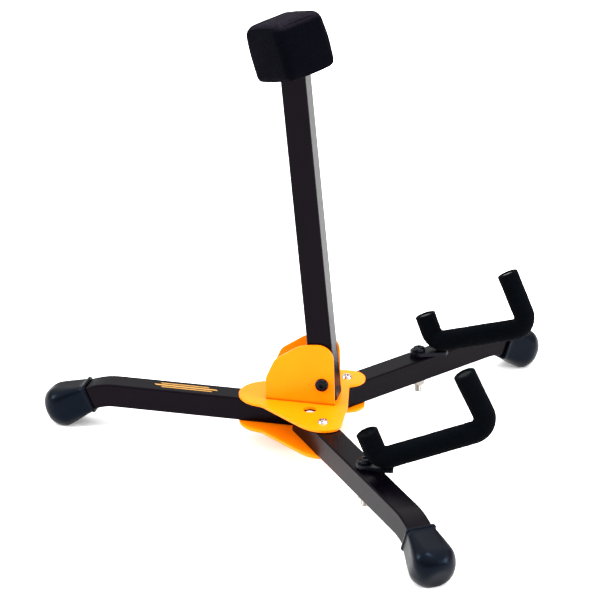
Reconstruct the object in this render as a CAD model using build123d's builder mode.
from build123d import *
import os
from math import cos, radians, sin, tan

# Folding mini guitar stand, unfolded.  Millimetres, +Z up, floor at Z = 0.
# The guitar rests at the front (-Y); the fixed rear leg points to +Y.
# The origin is on the floor, below the middle of the stand's outline box.

# ---- driving dimensions -------------------------------------------------
tube = 20.0  # outside width of every square tube
tube_wall = 1.2
tube_corner = 1.6
leg_top = 41.3  # height of the legs' upper face
pivot_x = 44.6  # front leg pivots, left and right of the middle
pivot_y = -49.54  # line through both pivots
splay = 53.7  # angle of each front leg from straight ahead
tail = 38.0  # leg tube behind its pivot
front_straight = 153.0  # straight leg in front of its pivot
rear_start = 33.0  # rear leg's front end, behind the pivot line
rear_straight = 182.0
bend_radius = 52.0
dip = 24.0  # how far a leg's end slopes down

plate_thickness = 2.5
slide_gap = 0.2  # between a leg and each plate
running_fit = 0.05  # clearance round whatever turns
button_fit = 0.15  # radial clearance of a lock button in its tube
edge_chamfer = 0.35
front_lobe = 15.2  # radius of the plate round each front pivot
rear_rivets = (39.5, 49.0)  # behind the pivot line

ear_thickness = 2.0
ear_gap = 21.6
bracket_front = -2.4  # behind the pivot line
bracket_back = 54.2
ear_points = ((-0.4, 55.0), (26.5, 52.0), (47.3, 38.0), (54.2, 22.0))  # same, and above the legs
ear_radii = (12.5, 22.0, 12.0, 7.0)
hinge_y = 8.1
hinge_z = leg_top + 20.3
lean = 5.8  # upright's backward lean
upright_length = 289.0  # from the hinge to the tube's top
upright_end_radius = 15.0  # the tube's lower end is square in front, round behind
upright_plug_depth = 10.0
upright_lock = 18.0  # lock button, above the hinge along the tube

pad_height = 276.7  # pad's middle, above the hinge along the tube
pad_back = 2.6  # and behind the tube's middle
pad_width = 47.0
pad_depth = 45.4
pad_tilt = 16.9
pad_roll = 3.3
pad_turn = -37.9
pad_round = 8.4

shank = 6.0  # every bolt and rivet
bush_outside = 8.5
rivet_head = 8.5
head_height = 2.0
bolt_head = 10.7
bolt_head_height = 3.5
nut_across_flats = 10.0
nut_height = 5.0

lock_reach = 26.0  # leg's lock button, behind its pivot
lock_hole = 11.0
button_width = 8.0
button_flange = 11.0
flange_height = 1.5
button_travel = 3.0
spring_outside = 8.0
spring_wire = 0.9
spring_turns = 5

arm_reach = 80.5  # arm bolt, along the leg from its pivot
arm_toe_in = {"left": 9.7, "right": 13.5}
arm_forward = 10.4  # rod's rear corner, ahead of the bolt
arm_outward = 8.6  # and outside it
arm_height = 10.4  # and above the leg
arm_rise = 19.6
arm_length = 89.0
stub_length = 25.2
stub_lean = 22.0
prong_length = 48.8
prong_lean = 25.7
rod = 8.0
sleeve = 17.4
stub_bend = 10.0
prong_bend = 12.0
tab_thickness = 3.0
tab_radius = 7.5
lug_start = 2.0  # ahead of the rod's rear corner
lug_length = 9.0
lug_thickness = 3.0
washer_width = 14.0
washer_thickness = 0.9
bolt_end = 12.8  # arm bolt's end, below the leg
end_plug = 11.0
end_plug_depth = 3.0
end_plug_recess = 0.8

boot_sections = ((2.5, 23.0, 3.0), (27.0, 33.8, 11.0), (36.5, 30.2, 14.5), (41.0, 22.8, 10.5))
boot_lip = 24.8  # sections are distance along the boot, width, corner radius
boot_lip_corner = 3.6
socket = 24.0  # tube inside the boot

# ---- worked-out sizes ---------------------------------------------------
leg_middle = leg_top - tube / 2
leg_bottom = leg_top - tube
top_plate_low = leg_top + slide_gap
top_plate_high = top_plate_low + plate_thickness
bottom_plate_high = leg_bottom - slide_gap
bottom_plate_low = bottom_plate_high - plate_thickness
base_high = top_plate_high + ear_thickness
inner_width = tube - 2 * tube_wall
inner_corner = tube_corner - tube_wall + 0.2
ear_outside = ear_gap / 2 + ear_thickness
sides = (("left", -1), ("right", 1))
os.makedirs("parts", exist_ok=True)


def save(builder, name):
    """Label a finished piece and write it."""
    builder.part.label = name
    export_step(builder.part, "parts/" + name + ".step")


def level(x, y, height):
    """Horizontal plane at a place given from the middle of the pivot line."""
    return Plane(origin=(x, pivot_y + y, height))


def tube_section():
    """Outline of the square tube, drawn in the current sketch."""
    RectangleRounded(tube, tube, tube_corner)
    RectangleRounded(inner_width, inner_width, inner_corner, mode=Mode.SUBTRACT)


# ---- legs: plan planes run along each leg from its pivot ----------------
def front_leg_plan(side):
    angle = radians(splay)
    heading = (side * sin(angle), -cos(angle), 0)
    return Plane(origin=(side * pivot_x, pivot_y, 0), x_dir=heading, z_dir=(0, 0, 1))


rear_leg_plan = Plane(origin=(0, pivot_y, 0), x_dir=(0, 1, 0), z_dir=(0, 0, 1))


def on_leg(plan, along, height=0.0, across=0.0):
    return plan.from_local_coords((along, across, height))


def corner_run():
    """From a bend's sharp corner to either end of its arc."""
    return bend_radius * tan(radians(dip / 2))


def boot_plane(plan, straight):
    """Plane across a leg where its bend ends and its boot begins."""
    slope = radians(dip)
    along = straight + corner_run() * (1 + cos(slope))
    height = leg_middle - corner_run() * sin(slope)
    heading = plan.x_dir * cos(slope) - Vector(0, 0, sin(slope))
    return Plane(origin=on_leg(plan, along, height), x_dir=plan.y_dir, z_dir=heading)


def make_leg(plan, start, straight, bores, button_at=None):
    """Square tube with a dipped end, and bores (along, radius) through it."""
    corner = straight + corner_run()
    reach = corner_run() + socket
    slope = radians(dip)
    with BuildPart() as leg:
        with BuildLine() as path:
            FilletPolyline(
                on_leg(plan, start, leg_middle),
                on_leg(plan, corner, leg_middle),
                on_leg(plan, corner + reach * cos(slope), leg_middle - reach * sin(slope)),
                radius=bend_radius,
            )
        with BuildSketch(Plane(origin=on_leg(plan, start, leg_middle), x_dir=plan.y_dir, z_dir=plan.x_dir)):
            tube_section()
        sweep(path=path.line)
        for along, radius in bores:
            with BuildSketch(Plane(origin=on_leg(plan, along, leg_bottom))):
                Circle(radius)
            extrude(amount=tube, mode=Mode.SUBTRACT)
        if button_at is not None:
            with BuildSketch(Plane(origin=on_leg(plan, button_at, leg_middle))):
                Circle(button_width / 2 + button_fit)
            extrude(amount=tube / 2, mode=Mode.SUBTRACT)
    return leg


def make_boot(plan, straight):
    """Rubber boot: square at its lip, flaring to a round toe, with a flat sole."""
    start = boot_plane(plan, straight)
    with BuildPart() as boot:
        for along, width, corner in boot_sections:
            with BuildSketch(start.offset(along)):
                RectangleRounded(width, width, corner)
        loft(ruled=True)
        with BuildSketch(start):
            RectangleRounded(boot_lip, boot_lip, boot_lip_corner)
        extrude(amount=boot_sections[0][0])
        with BuildSketch(start):
            RectangleRounded(tube, tube, tube_corner)
        extrude(amount=socket, mode=Mode.SUBTRACT)
        split(bisect_by=Plane.XY, keep=Keep.TOP)
    return boot


# ---- round pieces, each standing on a plane -----------------------------
def make_rings(planes, outside, inside, height):
    """Bushes, washers or spacers of one size."""
    with BuildPart() as rings:
        for plane in planes:
            with BuildSketch(plane):
                Circle(outside / 2)
                Circle(inside / 2, mode=Mode.SUBTRACT)
            extrude(amount=height)
    return rings


def make_rivets(planes, grip):
    """Rivets with a chamfered head at both ends and a hollow in the upper one."""
    with BuildPart() as rivets:
        for plane in planes:
            with BuildSketch(plane):
                Circle(shank / 2)
            extrude(amount=grip)
            for start, way in ((plane, -1), (plane.offset(grip), 1)):
                with BuildSketch(start):
                    Circle(rivet_head / 2)
                with BuildSketch(start.offset(way * head_height)):
                    Circle(rivet_head / 2 - 1)
                loft()
            with BuildSketch(plane.offset(grip + head_height)):
                Circle(shank / 3)
            extrude(amount=-head_height * 0.7, mode=Mode.SUBTRACT)
    return rivets


def make_bolt(under_head, length):
    """Domed bolt; the plane is under its head and faces away from its shank."""
    upward = Axis(under_head.origin, under_head.z_dir)
    with BuildPart() as bolt:
        with BuildSketch(under_head):
            Circle(bolt_head / 2)
        extrude(amount=bolt_head_height)
        fillet(bolt.faces().sort_by(upward)[-1].edges(), bolt_head_height * 0.7)
        with BuildSketch(under_head):
            Circle(shank / 2)
        extrude(amount=-length)
        chamfer(bolt.faces().sort_by(upward)[0].edges(), 0.6)
        with BuildSketch(under_head.offset(bolt_head_height)):
            RegularPolygon(shank / 3, 6)
        extrude(amount=-bolt_head_height * 0.6, mode=Mode.SUBTRACT)
    return bolt


def make_nut(plane):
    with BuildPart() as nut:
        with BuildSketch(plane):
            RegularPolygon(nut_across_flats / 2, 6, major_radius=False)
            Circle(shank / 2 + running_fit, mode=Mode.SUBTRACT)
        extrude(amount=nut_height)
    return nut


def make_button(plane):
    """Snap button: the plane is under its flange, its head points along the normal."""
    head_top = tube / 2 + 0.1 - (inner_width / 2 - flange_height - 0.1)
    with BuildPart() as button:
        with BuildSketch(plane):
            Circle(button_flange / 2)
        extrude(amount=flange_height)
        with BuildSketch(plane):
            Circle(button_width / 2)
        extrude(amount=head_top)
        rims = button.edges().filter_by(GeomType.CIRCLE)
        chamfer(rims.sort_by(Axis(plane.origin, plane.z_dir))[-1], 0.5)
    return button


def make_spring(plane, height):
    """Coil spring standing on a plane."""
    coil_radius = (spring_outside - spring_wire) / 2
    rise = height - spring_wire
    with BuildPart() as spring:
        with BuildLine() as coil:
            Helix(rise / spring_turns, rise, coil_radius, center=(0, 0, spring_wire / 2))
        with BuildSketch(Plane(origin=coil.line @ 0, z_dir=coil.line % 0)):
            Circle(spring_wire / 2)
        sweep(path=coil.line, is_frenet=True)
    with BuildPart() as placed:
        add(plane.location * spring.part)
    return placed


# ---- hub plates ---------------------------------------------------------
def mirrored(point):
    return (-point[0], point[1])


def plate_outline(open_front):
    """Three-lobed plate from above; the upper one fills the front between its lobes."""
    flank, shoulder, waist, back = (59.4, -1.0), (50.2, 21.0), (23.6, 55.5), 79.0
    notch, nose = (30.3, -5.2), (-9.0, -12.4)
    notch_low, cheek, chin = (29.6, -3.0), (55.1, -11.4), (pivot_x, -front_lobe)
    rounded = [(waist, 10), (mirrored(waist), 10)]
    with BuildSketch() as outline:
        with BuildLine():
            ThreePointArc(mirrored(waist), (0, back), waist)
            Line(waist, shoulder)
            Spline(shoulder, flank, tangents=((0.61, -0.79), (0, -1)))
            if open_front:
                ThreePointArc(flank, chin, notch_low)
                Line(notch_low, mirrored(notch_low))
                ThreePointArc(mirrored(notch_low), mirrored(chin), mirrored(flank))
                rounded += [(notch_low, 3), (mirrored(notch_low), 3)]
            else:
                ThreePointArc(flank, chin, notch)
                Polyline(notch, nose, mirrored(chin))
                ThreePointArc(mirrored(chin), mirrored(cheek), mirrored(flank))
                rounded += [(notch, 2.5), (nose, 15)]
            Spline(mirrored(flank), mirrored(shoulder), tangents=((0, 1), (0.61, 0.79)))
            Line(mirrored(shoulder), mirrored(waist))
        make_face()
        for (x, y), radius in rounded:
            fillet(outline.vertices().sort_by_distance((x, y, 0))[0], radius)
    return outline.sketch


lock_spots = [on_leg(front_leg_plan(side), -lock_reach) for _, side in sides]

for plate_name, low in (("top_plate", top_plate_low), ("bottom_plate", bottom_plate_low)):
    with BuildPart() as plate:
        with BuildSketch(level(0, 0, low)):
            add(plate_outline(plate_name == "bottom_plate"))
            with Locations((-pivot_x, 0), (pivot_x, 0), (0, rear_rivets[0]), (0, rear_rivets[1])):
                Circle(shank / 2 + running_fit, mode=Mode.SUBTRACT)
            if plate_name == "top_plate":
                with Locations(*[(spot.X, spot.Y - pivot_y) for spot in lock_spots]):
                    Circle(lock_hole / 2, mode=Mode.SUBTRACT)
        extrude(amount=plate_thickness)
        for end in (-1, 0):
            chamfer(plate.faces().sort_by(Axis.Z)[end].outer_wire().edges(), edge_chamfer)
    save(plate, plate_name)

# ---- bracket and upright ------------------------------------------------
hinge = Vector(0, pivot_y + hinge_y, hinge_z)
upright_plane = Plane(origin=hinge, x_dir=(1, 0, 0), z_dir=(0, sin(radians(lean)), cos(radians(lean))))
upright_side = Plane(origin=hinge, x_dir=upright_plane.y_dir, z_dir=(1, 0, 0))
button_point = upright_plane.from_local_coords((0, 0, upright_lock))


def across(point, x):
    """Plane facing +X, level with a point, at a given x."""
    return Plane(origin=(x, point.Y, point.Z), x_dir=(0, 1, 0), z_dir=(1, 0, 0))


with BuildPart() as upright_bracket:
    with BuildSketch(Plane(origin=(-ear_outside, pivot_y, 0), x_dir=(0, 1, 0), z_dir=(1, 0, 0))):
        with BuildLine():
            FilletPolyline(
                (bracket_front, top_plate_high),
                *[(y, leg_top + z) for y, z in ear_points],
                (bracket_back, top_plate_high),
                radius=(0, *ear_radii, 0),
                close=True,
            )
        make_face()
    extrude(amount=2 * ear_outside)
    fillet(upright_bracket.edges().filter_by(Axis.Y).group_by(Axis.Z)[0], ear_thickness)
    with BuildSketch(level(0, (bracket_front + bracket_back) / 2, base_high)):
        Rectangle(ear_gap, 2 * bracket_back)
    extrude(amount=ear_points[0][1], mode=Mode.SUBTRACT)
    with BuildSketch(across(hinge, -ear_outside)):
        Circle(shank / 2 + running_fit)
    extrude(amount=2 * ear_outside, mode=Mode.SUBTRACT)
    with BuildSketch(across(button_point, 0)):
        Circle(button_width / 2 + 0.5)
    extrude(amount=ear_outside, mode=Mode.SUBTRACT)
    for place in rear_rivets:
        with BuildSketch(level(0, place, top_plate_high)):
            Circle(shank / 2 + running_fit)
        extrude(amount=ear_thickness, mode=Mode.SUBTRACT)
save(upright_bracket, "upright_bracket")

with BuildPart() as upright_tube:
    with BuildSketch(upright_plane.offset(-upright_end_radius)):
        tube_section()
    extrude(amount=upright_end_radius + upright_length)
    with BuildSketch(upright_side.offset(-tube)):
        Rectangle(tube, 2 * upright_end_radius, align=(Align.MIN, Align.MAX))
        Circle(upright_end_radius, mode=Mode.SUBTRACT)
    extrude(amount=2 * tube, mode=Mode.SUBTRACT)
    with BuildSketch(across(hinge, -tube / 2)):
        Circle(bush_outside / 2)
    extrude(amount=tube, mode=Mode.SUBTRACT)
    with BuildSketch(across(button_point, 0)):
        Circle(button_width / 2 + button_fit)
    extrude(amount=tube / 2, mode=Mode.SUBTRACT)
save(upright_tube, "upright_tube")

upright_bush = make_rings([across(hinge, -tube / 2)], bush_outside, shank + 2 * running_fit, tube)
save(upright_bush, "upright_bush")

with BuildPart() as upright_plug:
    with BuildSketch(upright_plane.offset(upright_length - upright_plug_depth)):
        RectangleRounded(inner_width, inner_width, inner_corner)
    extrude(amount=upright_plug_depth)
save(upright_plug, "upright_plug")

washer_gap = (ear_gap - tube) / 2 - 2 * running_fit
upright_washers = make_rings(
    [across(hinge, tube / 2 + running_fit), across(hinge, -tube / 2 - running_fit - washer_gap)],
    washer_width,
    shank + 2 * running_fit,
    washer_gap,
)
save(upright_washers, "upright_washers")

head_place = hinge - Vector(ear_outside + running_fit, 0, 0)
head_side = Plane(origin=head_place, x_dir=(0, 1, 0), z_dir=(-1, 0, 0))
upright_bolt = make_bolt(head_side, 2 * ear_outside + nut_height + 2)
save(upright_bolt, "upright_bolt")
upright_nut = make_nut(across(hinge, ear_outside + running_fit))
save(upright_nut, "upright_nut")

flange_low = inner_width / 2 - 0.1 - flange_height
upright_lock_button = make_button(across(button_point, flange_low))
save(upright_lock_button, "upright_lock_button")
pressed_height = flange_low - button_travel + inner_width / 2 - 0.1
upright_lock_spring = make_spring(across(button_point, -inner_width / 2), pressed_height)
save(upright_lock_spring, "upright_lock_spring")

pad_slope = radians(pad_tilt)
pad_middle = upright_plane.from_local_coords((0, 0, pad_height)) + Vector(0, pad_back, 0)
pad_plane = Plane(origin=pad_middle, x_dir=(1, 0, 0), z_dir=(0, sin(pad_slope), cos(pad_slope)))
pad_plane = pad_plane.rotated((0, pad_roll, 0)).rotated((0, 0, pad_turn))
with BuildPart() as neck_pad:
    with BuildSketch(pad_plane.offset(-pad_depth / 2)):
        RectangleRounded(pad_width, pad_width, pad_round)
    extrude(amount=pad_depth)
    pad_ends = neck_pad.faces().sort_by(Axis(pad_middle, pad_plane.z_dir))
    fillet(pad_ends[0].edges() + pad_ends[-1].edges(), pad_round - 1)
    with BuildSketch(upright_plane.offset(upright_length - pad_depth)):
        RectangleRounded(tube, tube, tube_corner)
    extrude(amount=pad_depth, mode=Mode.SUBTRACT)
save(neck_pad, "neck_pad")

# ---- rear leg and its fixings -------------------------------------------
rear_bores = [(place, bush_outside / 2) for place in rear_rivets]
rear_leg = make_leg(rear_leg_plan, rear_start, rear_straight, rear_bores)
save(rear_leg, "rear_leg")
rear_foot = make_boot(rear_leg_plan, rear_straight)
save(rear_foot, "rear_foot")
rear_grip = base_high - bottom_plate_low
rear_leg_rivets = make_rivets([level(0, place, bottom_plate_low) for place in rear_rivets], rear_grip)
save(rear_leg_rivets, "rear_leg_rivets")
rear_leg_spacers = make_rings(
    [level(0, place, bottom_plate_high) for place in rear_rivets],
    bush_outside,
    shank + 2 * running_fit,
    tube + 2 * slide_gap,
)
save(rear_leg_spacers, "rear_leg_spacers")


# ---- cradle arms: local x forward along the arm, y across it, z up ------
def arm_plan(name, side):
    """Plan plane of an arm, with its origin at the arm bolt."""
    angle = radians(arm_toe_in[name])
    return Plane(
        origin=on_leg(front_leg_plan(side), arm_reach, leg_top),
        x_dir=(-side * sin(angle), -cos(angle), 0),
        z_dir=(0, 0, 1),
    )


def arm_path(plan, side, cut_back):
    """Corner points of the rod's middle line, both ends cut back by a length."""
    offset = side * arm_outward
    rise, stub_slope, prong_slope = radians(arm_rise), radians(stub_lean), radians(prong_lean)
    rear = (arm_forward, arm_height)
    front = (rear[0] + arm_length * cos(rise), rear[1] + arm_length * sin(rise))
    stub, prong = stub_length - cut_back, prong_length - cut_back
    points = (
        (rear[0] - stub * sin(stub_slope), rear[1] + stub * cos(stub_slope)),
        rear,
        front,
        (front[0] - prong * sin(prong_slope), front[1] + prong * cos(prong_slope)),
    )
    return [plan.from_local_coords((x, offset, z)) for x, z in points]


def make_bar(points, outside, inside=0.0):
    """Round bar or sleeve bent along the arm's corner points."""
    with BuildPart() as bar:
        with BuildLine() as path:
            FilletPolyline(*points, radius=(stub_bend, prong_bend))
        with BuildSketch(Plane(origin=path.line @ 0, z_dir=path.line % 0)):
            Circle(outside / 2)
            if inside:
                Circle(inside / 2, mode=Mode.SUBTRACT)
        sweep(path=path.line)
    return bar


def make_arm(name, side):
    plan = arm_plan(name, side)
    offset = side * arm_outward
    ends = arm_path(plan, side, 0)
    arm_rod = make_bar(arm_path(plan, side, end_plug_depth), rod)
    tab_low = washer_thickness + 2 * running_fit
    lug_middle = arm_forward + lug_start + lug_length / 2

    with BuildPart() as bracket:
        with BuildSketch(plan.offset(tab_low)):
            Circle(tab_radius)
            with Locations((lug_middle, offset)):
                RectangleRounded(lug_length + 1, lug_thickness + 4, 2)
            make_hull()
            Circle(shank / 2 + running_fit, mode=Mode.SUBTRACT)
        extrude(amount=tab_thickness)
        with BuildSketch(plan.offset(tab_low + tab_thickness)):
            with Locations((lug_middle, offset)):
                Rectangle(lug_length, lug_thickness)
        extrude(amount=arm_height - tab_thickness)
        add(arm_rod.part, mode=Mode.SUBTRACT)

    with BuildPart() as foam:
        add(make_bar(ends, sleeve, rod).part)
        for end, inner in ((ends[0], ends[1]), (ends[3], ends[2])):
            with BuildSketch(Plane(origin=end, z_dir=(inner - end))):
                Circle(end_plug / 2)
            extrude(amount=end_plug_depth, mode=Mode.SUBTRACT)
        with BuildSketch(plan.offset(tab_low + tab_thickness)):
            with Locations((lug_middle, offset)):
                Rectangle(lug_length + 0.6, lug_thickness + 0.6)
        extrude(amount=arm_height, mode=Mode.SUBTRACT)

    with BuildPart() as plugs:
        for end, inner in ((ends[0], ends[1]), (ends[3], ends[2])):
            inward = (inner - end).normalized()
            with BuildSketch(Plane(origin=end + inward * end_plug_depth, z_dir=inward * -1)):
                Circle(end_plug / 2)
            extrude(amount=end_plug_depth - end_plug_recess)

    save(bracket, name + "_arm_bracket")
    save(arm_rod, name + "_arm_rod")
    save(foam, name + "_arm_sleeve")
    save(plugs, name + "_arm_plugs")


# ---- front legs with their fixings, locks and arms ----------------------
for name, side in sides:
    plan = front_leg_plan(side)
    arm_spot = on_leg(plan, arm_reach, leg_top)
    bores = [(0, bush_outside / 2), (arm_reach, shank / 2 + running_fit)]
    save(make_leg(plan, -tail, front_straight, bores, -lock_reach), name + "_leg")
    save(make_boot(plan, front_straight), name + "_foot")
    pivot_rivet = make_rivets([level(side * pivot_x, 0, bottom_plate_low)], top_plate_high - bottom_plate_low)
    save(pivot_rivet, name + "_pivot_rivet")
    pivot_bush = make_rings(
        [level(side * pivot_x, 0, bottom_plate_high + running_fit)],
        bush_outside,
        shank + 2 * running_fit,
        tube + 2 * slide_gap - 2 * running_fit,
    )
    save(pivot_bush, name + "_pivot_bush")

    button_low = leg_middle + flange_low
    save(make_button(Plane(origin=on_leg(plan, -lock_reach, button_low))), name + "_lock_button")
    spring_low = leg_middle - inner_width / 2
    spring_plane = Plane(origin=on_leg(plan, -lock_reach, spring_low))
    save(make_spring(spring_plane, button_low - spring_low), name + "_lock_spring")

    head_low = leg_top + washer_thickness + tab_thickness + 3 * running_fit
    bolt_plane = Plane(origin=(arm_spot.X, arm_spot.Y, head_low))
    save(make_bolt(bolt_plane, head_low - leg_bottom + bolt_end), name + "_arm_bolt")
    washer_low = leg_bottom - running_fit - washer_thickness
    washer_planes = [Plane(origin=(arm_spot.X, arm_spot.Y, z)) for z in (leg_top + running_fit, washer_low)]
    washers = make_rings(washer_planes, washer_width, shank + 2 * running_fit, washer_thickness)
    save(washers, name + "_arm_washers")
    save(make_nut(Plane(origin=(arm_spot.X, arm_spot.Y, washer_low - nut_height))), name + "_arm_nut")
    spacer_plane = Plane(origin=(arm_spot.X, arm_spot.Y, leg_bottom + tube_wall))
    save(make_rings([spacer_plane], bush_outside, shank + 2 * running_fit, inner_width), name + "_arm_spacer")
    make_arm(name, side)
